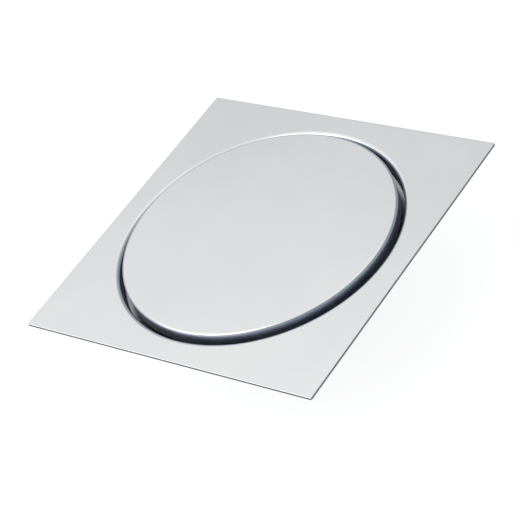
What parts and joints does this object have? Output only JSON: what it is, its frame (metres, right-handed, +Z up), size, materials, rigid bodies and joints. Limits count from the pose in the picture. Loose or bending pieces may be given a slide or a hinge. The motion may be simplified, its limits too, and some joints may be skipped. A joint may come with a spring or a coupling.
{
  "type": "press-to-open floor drain",
  "caption": "Square stainless floor drain with a blank round press-to-open lid in a rounded opening, click cartridge, lift-out strainer basket and plain round outlet.",
  "frame": {"origin": "centre of the outlet's lower end, on the drain's axis, which is also the centre of the bottom of the whole part", "axes": "+Z up out of the floor along the drain's axis; +X and +Y along the sides of the square plate"},
  "size_m": [0.15, 0.15, 0.0525],
  "materials": {
    "stainless_polished": "satin polished stainless steel sheet",
    "stainless_pressed": "pressed stainless steel, mill finish",
    "stainless_perforated": "perforated stainless steel sheet",
    "stainless_turned": "turned stainless steel",
    "steel_bright": "bright stainless bar and wire",
    "brass": "turned brass",
    "rubber_black": "moulded black rubber",
    "plastic_white": "moulded white plastic",
    "plastic_grey": "moulded grey plastic",
    "plastic_acetal": "natural acetal"
  },
  "bodies": {
    "drain_body": {"frame_plate": "stainless_polished", "channel_pan": "stainless_pressed", "trap_cup": "stainless_pressed", "outlet_spigot": "stainless_pressed", "pipe_collar": "rubber_black", "seat_ring": "stainless_turned"},
    "basket": {"strainer_basket": "plastic_white", "strainer_plate": "stainless_perforated", "basket_seal": "rubber_black"},
    "click_unit": {"insert_bridge": "plastic_grey", "bridge_washer": "rubber_black", "cartridge_tube": "brass", "cartridge_head": "brass", "rod_wiper": "rubber_black", "cartridge_nut": "brass", "lock_washer": "steel_bright", "cartridge_cap": "brass", "cam_washer": "plastic_acetal", "return_spring": "steel_bright"},
    "cam": {"cam_ring": "plastic_acetal"},
    "plunger": {"plunger_rod": "steel_bright", "cross_pin": "steel_bright"},
    "lid": {"lid_disc": "stainless_polished", "lid_carrier": "plastic_white", "lid_insert": "brass", "lid_gasket": "rubber_black"}
  },
  "joints": [
    {"name": "basket_lift", "type": "slide", "parent": "drain_body", "child": "basket", "axis": [0, 0, 1], "range_m": [0, 0.06]},
    {"name": "unit_lift", "type": "slide", "parent": "basket", "child": "click_unit", "axis": [0, 0, 1], "range_m": [0, 0.06]},
    {"name": "lid_click", "type": "slide", "parent": "click_unit", "child": "plunger", "axis": [0, 0, 1], "range_m": [-0.001, 0.008], "deforming": ["return_spring"]},
    {"name": "cam_turn", "type": "hinge", "parent": "click_unit", "child": "cam", "pos_m": [0, 0, 0.031], "axis": [0, 0, 1], "range_deg": [-6, 46]},
    {"name": "lid_turn", "type": "hinge", "parent": "plunger", "child": "lid", "pos_m": [0, 0, 0.048], "axis": [0, 0, 1], "continuous": true}
  ],
  "couplings": [
    {"joint": "cam_turn", "follows": "lid_click", "rad_per_m": 98.175}
  ]
}
